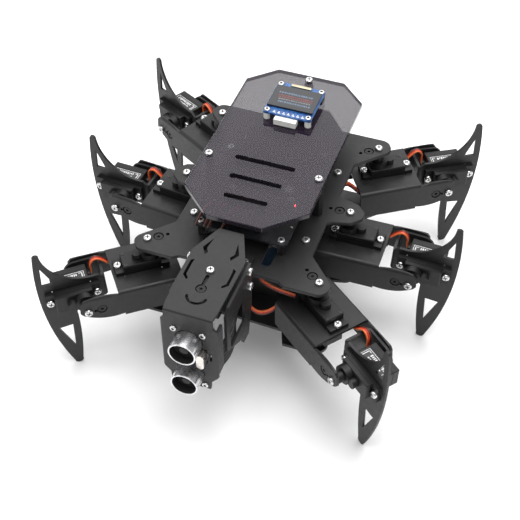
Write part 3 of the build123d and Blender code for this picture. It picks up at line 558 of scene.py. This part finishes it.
# ---- leads -----------------------------------------------------------------------------------
KNEE_ROUTE = [(13.0, -6.0), (22.2, -5.4), (27.4, 0.6), (31.6, 2.4), (34.6, -1.8), (33.6, -8.0), (35.4, -10.2)]
LEAD_REAR = 11.6
WIRE_R = 0.62
WIRE_STEP = 1.16
HIP_ROUTES = {
    "right_front_loop": [(28.4, -60.6, -27.5), (24.2, -64.0, -31.4), (17.0, -65.6, -33.2),
                         (10.2, -62.6, -31.2), (6.8, -55.6, -26.4), (7.6, -48.2, -20.2)],
    "right_front_straight": [(38.6, -60.6, -15.4), (32.6, -62.4, -12.6), (23.4, -62.6, -10.4),
                             (15.4, -59.6, -8.8), (10.6, -52.2, -9.4)],
    "left_front": [(-36.0, -57.4, -24.6), (-30.6, -60.8, -22.4), (-24.0, -62.6, -19.4), (-18.2, -59.8, -14.8),
                   (-15.6, -52.8, -12.0)],
    "right_rear": [(47.0, 46.0, -27.0), (43.0, 45.0, -22.6), (40.8, 40.8, -16.6), (40.4, 35.0, -10.4),
                   (38.4, 28.2, -6.6), (32.4, 22.6, -6.0)],
}
HEAD_ROUTES = [
    [(10.8, -120.4, -10.0), (11.2, -114.6, -14.6), (12.6, -107.0, -16.4), (13.4, -98.0, -13.2),
     (13.0, -88.6, -9.4), (11.6, -79.6, -6.2), (9.6, -70.4, -5.4), (8.8, -61.4, -6.6)],
    [(10.4, -120.4, -15.0), (11.4, -113.8, -19.4), (13.2, -106.0, -18.8), (13.8, -97.0, -17.0),
     (12.4, -87.4, -14.6), (10.8, -78.4, -10.6), (10.4, -69.4, -9.6), (11.2, -60.8, -10.4)],
]


def knee_leads():
    """Flat three-wire ribbon from each channel, over the gap, into the knee servo."""
    for leg in LEGS:
        matrix = leg_frame(leg)
        wires = []
        for step in (-1, 0, 1):
            route = [matrix @ Vector((x * MM, (LEAD_REAR + step * WIRE_STEP) * MM, CHANNEL_TOP + z * MM))
                     for x, z in KNEE_ROUTE]
            wires.append(spline_tube("wire", route, WIRE_R * MM))
        mesh = join_meshes(f"{leg}_ribbon", wires)
        ribbon = new_piece(f"{leg}_ribbon", mesh, [ORANGE, RED, BROWN], None, 60.0)
        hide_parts(f"{leg}_knee_lead")
        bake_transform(ribbon)


def hip_leads():
    """Hip servo ribbons, in under the deck."""
    for name, route in HIP_ROUTES.items():
        points = [Vector((x * MM, SHIFT_Y + y * MM, PLATE_TOP + z * MM)) for x, y, z in route]
        wires = []
        for step in (-1, 0, 1):
            lift = Vector((0, 0, step * WIRE_STEP * MM))
            wires.append(spline_tube("wire", [p + lift for p in points], WIRE_R * MM))
        ribbon = new_piece(f"{name}_ribbon", join_meshes(f"{name}_ribbon", wires), [BROWN, RED, ORANGE],
                           None, 60.0)
        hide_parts("hip_leads")
        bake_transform(ribbon)


def head_leads():
    """Black leads of the sonar board."""
    for index, route in enumerate(HEAD_ROUTES):
        points = [Vector((x * MM, SHIFT_Y + y * MM, PLATE_TOP + z * MM)) for x, y, z in route]
        lead = new_piece(f"sonar_lead_{index}", spline_tube("lead", points, 1.1 * MM), [JACKET], None,
                         60.0)
        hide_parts("head_leads")
        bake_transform(lead)


def head_cables():
    """Bundle of black cables behind the right cheek's window."""
    for index in range(4):
        drop = 2.7 * index
        route = [(10.6, -113.0, -23.0 - drop), (13.4, -107.0, -22.6 - drop), (14.2, -99.0, -20.6 - drop),
                 (13.0, -91.0, -18.6 - drop), (9.6, -84.0, -19.0 - 0.8 * drop)]
        points = [Vector((x * MM, SHIFT_Y + y * MM, PLATE_TOP + z * MM)) for x, y, z in route]
        new_piece(f"head_cable_{index}", spline_tube("cable", points, 1.25 * MM), [JACKET], "body",
                  60.0)


# ---- servo details ---------------------------------------------------------------------------
def label_art(bm, matrix, seed):
    """A printed label, generic: a frame, bars and rows of dashes. x along the case, z across, y up."""
    pick = random.Random(seed)
    base, film, ink = 6.1, 0.06, 0.02          # the servo's face, the label and the ink on it

    def bar(x0, x1, z0, z1):
        low = (x0 * MM, (base + film) * MM, z0 * MM)
        high = (x1 * MM, (base + film + ink) * MM, z1 * MM)
        add_block(bm, low, high, 0, 1)

    add_block(bm, (-4.6 * MM, base * MM, -11.0 * MM), (15.6 * MM, (base + film) * MM, -2.0 * MM), 0, 0)
    for z0, z1 in ((-10.4, -10.1), (-2.9, -2.6)):
        bar(-3.8, 14.8, z0, z1)
    for x0 in (-3.8, 14.5):
        bar(x0, x0 + 0.3, -10.4, -2.6)
    bar(-2.8, -0.6, -9.4, -8.9)
    bar(-2.8, -2.2, -9.4, -4.0)
    x = 0.6
    while x < 13.0:
        width = pick.uniform(0.5, 1.1)
        bar(x, x + width, -9.2, -9.2 + pick.uniform(1.4, 2.0))
        x += width + 0.45
    x = 0.6
    while x < 11.5:
        width = pick.uniform(0.7, 1.8)
        bar(x, x + width, -6.4, -5.6)
        x += width + 0.4
    bar(0.6, 9.4, -4.4, -3.9)
    for vert in bm.verts:
        vert.co = matrix @ vert.co


def knee_servo_details():
    """Label and lead boot of each knee servo."""
    for index, leg in enumerate(LEGS):
        matrix = knee_frame(leg)
        bm = bmesh.new()
        label_art(bm, matrix, index)
        outward(bm)
        new_piece(f"{leg}_knee_label", bm, [LABEL, PRINT], f"{leg}_claw", 20.0)
        bm = bmesh.new()
        add_block(bm, (-8.0 * MM, -2.4 * MM, -15.4 * MM), (-5.7 * MM, 2.0 * MM, -10.8 * MM), 0.5 * MM)
        for vert in bm.verts:
            vert.co = matrix @ vert.co
        outward(bm)
        new_piece(f"{leg}_lead_boot", bm, [HEADER], f"{leg}_claw")


def hip_servo_details():
    """Case screws on top of each hip servo."""
    for leg in LEGS:
        matrix = leg_frame(leg)
        bm = bmesh.new()
        for x, y in ((15.4, 4.6), (15.4, -4.6), (-4.4, 4.6), (-4.4, -4.6)):
            place = matrix @ Matrix.Translation((x * MM, y * MM, CHANNEL_TOP + 6.6 * MM))
            profile = [(AXIS_R, 0.0), (0.95 * MM, 0.0), (0.85 * MM, 0.22 * MM), (0.42 * MM, 0.25 * MM),
                       (0.40 * MM, 0.05 * MM), (AXIS_R, 0.05 * MM)]
            add_lathe(bm, profile, place, 20)
        outward(bm)
        new_piece(f"{leg}_hip_case_screws", bm, [HEADER], f"{leg}_hip")


# ---- display ---------------------------------------------------------------------------------
def display_details():
    """Active area with generic bars, white pads on the board and the rear flat cable."""
    low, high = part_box("display_module")
    middle = Vector((0.0, (low.y + high.y) / 2 + 1.9 * MM, high.z))
    bm = bmesh.new()
    glass_top = high.z
    add_block(bm, (-13.0 * MM, middle.y - 8.0 * MM, glass_top),
              (13.0 * MM, middle.y + 6.0 * MM, glass_top + 0.03 * MM), 0, 3)
    pick = random.Random(5)
    rows = ((3.4, 1.5, 0), (1.0, 1.0, 1), (-0.8, 1.0, 1), (-2.6, 1.0, 2), (-5.4, 1.5, 0))
    for row, (y, deep, colour) in enumerate(rows):
        x = -11.0 + row * 0.5
        while x < 10.6:
            width = pick.uniform(0.5, 1.3)
            add_block(bm, (x * MM, middle.y + y * MM, glass_top + 0.03 * MM),
                      ((x + width) * MM, middle.y + (y + deep) * MM, glass_top + 0.05 * MM), 0, colour)
            x += width + pick.uniform(0.25, 0.6)
    new_piece("display_picture", bm, [*PIXELS, GLASS], "body", 20.0)
    board_top = high.z - 1.5 * MM
    bm = bmesh.new()
    front = low.y + 3.8 * MM
    for step in range(7):
        x = -9.2 + 3.0 * step
        add_block(bm, (x * MM, front + 1.2 * MM, board_top),
                  ((x + 1.7) * MM, front + 1.9 * MM, board_top + 0.05 * MM))
        add_block(bm, ((x + 0.3) * MM, front + 2.3 * MM, board_top),
                  ((x + 1.0) * MM, front + 3.0 * MM, board_top + 0.05 * MM))
    new_piece("display_silkscreen", bm, [WHITE], "body", 20.0)
    bm = bmesh.new()
    add_block(bm, (-6.5 * MM, high.y - 3.1 * MM, board_top),
              (6.5 * MM, high.y - 0.8 * MM, board_top + 1.2 * MM), 0.3 * MM)
    new_piece("display_flex", bm, [BRASS], "body")


# ---- electronics under the cover ---------------------------------------------------------------
PITCH = 2.54                         # of the header's pins, mm
FIRST_PIN, PIN_ROW = -17.2, 7.4      # across, and back from the board's front edge
PLUG_STEPS = (0, 2, 3, 6)            # the header's places with a plug


def board_details():
    """Servo plugs with their leads, header pins, capacitors and the power lamp."""
    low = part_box("control_board")[0]
    top = low.z + 1.6 * MM
    front = low.y
    colours = [BROWN, RED, ORANGE]
    bm = bmesh.new()
    pins = bmesh.new()
    for row in range(3):
        for step in range(10):
            x, y = (FIRST_PIN + PITCH * step) * MM, front + (PIN_ROW + PITCH * (row - 1)) * MM
            add_block(pins, (x - 0.3 * MM, y - 0.3 * MM, top + 8.4 * MM),
                      (x + 0.3 * MM, y + 0.3 * MM, top + 11.4 * MM), 0.12 * MM)
    for step in PLUG_STEPS:
        x, y = (FIRST_PIN + PITCH * step) * MM, front + PIN_ROW * MM
        add_block(bm, (x - 1.15 * MM, y - 3.7 * MM, top + 8.6 * MM),
                  (x + 1.15 * MM, y + 3.7 * MM, top + 12.8 * MM), 0.25 * MM)
    new_piece("servo_plugs", bm, [HEADER], "body")
    new_piece("header_pins", pins, [BRASS], "body")
    for step in PLUG_STEPS:
        x, y = (FIRST_PIN + PITCH * step) * MM, front + PIN_ROW * MM
        wires = []
        for row in range(3):
            start = Vector((x, y + PITCH * (row - 1) * MM, top + 12.6 * MM))
            steps = ((0.0, 0.0, 0.0), (-0.4, -0.6, 1.0), (-2.6, -3.0, 0.6), (-6.0, -6.4, -3.0),
                     (-7.6, -8.6, -9.0))
            route = [start + Vector((a * MM, b * MM, c * MM)) for a, b, c in steps]
            wires.append(spline_tube("wire", route, 0.55 * MM))
        name = f"plug_lead_{step}"
        new_piece(name, join_meshes(name, wires), colours, "body", 60.0)
    bm = bmesh.new()
    for x, y, r, h in ((17.0, 40.0, 3.0, 6.0), (20.5, 33.0, 2.4, 5.0), (-16.0, 33.0, 2.2, 4.6)):
        place = Matrix.Translation((x * MM, front + y * MM, top))
        profile = [(AXIS_R, 0), (r * MM, 0), (r * MM, (h - 0.4) * MM), ((r - 0.4) * MM, h * MM),
                   (AXIS_R, h * MM)]
        add_lathe(bm, profile, place, 28)
    outward(bm)
    new_piece("capacitors", bm, [CAN], "body")
    pick = random.Random(11)
    bm = bmesh.new()
    for _ in range(46):
        x, y = pick.uniform(-19.0, 26.0), pick.uniform(14.0, 60.0)
        a, b = pick.choice([(1.6, 0.8), (0.8, 1.6), (2.0, 1.2)])
        add_block(bm, (x * MM, front + y * MM, top),
                  ((x + a) * MM, front + (y + b) * MM, top + 0.7 * MM), 0.12 * MM, pick.randrange(2))
    new_piece("small_parts", bm, [HEADER, CRYSTAL], "body")
    bm = bmesh.new()
    lamp = Vector((21.5 * MM, SHIFT_Y - 16.0 * MM, top))
    add_block(bm, lamp, lamp + Vector((1.6, 1.2, 1.0)) * MM, 0.2 * MM)
    new_piece("power_lamp", bm, [LED], "body")


# ---- sonar -----------------------------------------------------------------------------------
def sonar_details():
    """Transducers inside the cans."""
    bm = bmesh.new()
    for z in can_centres():
        face = Matrix.Translation((0, SONAR_FRONT + 5.0 * MM, z)) @ Matrix.Rotation(math.pi / 2, 4, "X")
        add_lathe(bm, [(AXIS_R, 0), (3.6 * MM, 0), (3.3 * MM, 0.9 * MM), (2.5 * MM, 1.6 * MM),
                       (1.2 * MM, 1.1 * MM), (AXIS_R, 0.9 * MM)], face, 40)
    outward(bm)
    new_piece("transducers", bm, [PILLAR], "head")


# ---- stage -----------------------------------------------------------------------------------
def make_stage():
    """Plain pale floor."""
    floor_material = Recipe("floor_paper", Roughness=0.9, Specular_IOR_Level=0.15)
    floor_material.colour(floor_material.noise(8.0), [(0.3, grey(0.93)), (0.7, grey(0.95))])
    bm = bmesh.new()
    bmesh.ops.create_grid(bm, x_segments=8, y_segments=8, size=15.0)
    mesh = bpy.data.meshes.new("floor")
    bm.to_mesh(mesh)
    bm.free()
    mesh.materials.append(floor_material.material)
    floor = bpy.data.objects.new("floor", mesh)
    bpy.context.scene.collection.objects.link(floor)


def area_light(name, at, aim, size, power):
    data = bpy.data.lights.new(name, "AREA")
    data.shape = "DISK"
    data.size = size
    data.energy = power
    lamp = bpy.data.objects.new(name, data)
    bpy.context.scene.collection.objects.link(lamp)
    lamp.location = at
    lamp.rotation_euler = (Vector(aim) - Vector(at)).to_track_quat("-Z", "Y").to_euler()


def make_light():
    """Soft white studio: an even surround, brighter from above."""
    world = bpy.data.worlds.new("studio")
    bpy.context.scene.world = world
    world.use_nodes = True
    tree = world.node_tree
    background = tree.nodes["Background"]
    place = tree.nodes.new("ShaderNodeTexCoord")
    split = tree.nodes.new("ShaderNodeSeparateXYZ")
    ramp = tree.nodes.new("ShaderNodeValToRGB")
    tree.links.new(place.outputs["Generated"], split.inputs["Vector"])
    tree.links.new(split.outputs["Z"], ramp.inputs["Fac"])
    tree.links.new(ramp.outputs["Color"], background.inputs["Color"])
    ramp.color_ramp.elements[0].position = 0.0
    ramp.color_ramp.elements[0].color = (0.45, 0.45, 0.46, 1)
    ramp.color_ramp.elements[1].position = 0.9
    ramp.color_ramp.elements[1].color = (1.0, 1.0, 1.0, 1)
    background.inputs["Strength"].default_value = 0.80
    area_light("overhead", (0.22, -0.05, 1.5), (0, 0.0, 0.05), 1.3, 20.0)
    area_light("back", (-0.25, 1.25, 1.3), (0, 0.0, 0.08), 1.7, 12.0)
    area_light("left_fill", (-1.1, -0.5, 0.9), (0, 0, 0.05), 0.7, 4.0)
    bpy.context.scene.view_settings.view_transform = "Standard"


make_camera()
knee_leads()
hip_leads()
head_leads()
head_cables()
finish_nodes()
knee_servo_details()
hip_servo_details()
display_details()
board_details()
sonar_details()
make_stage()
make_light()
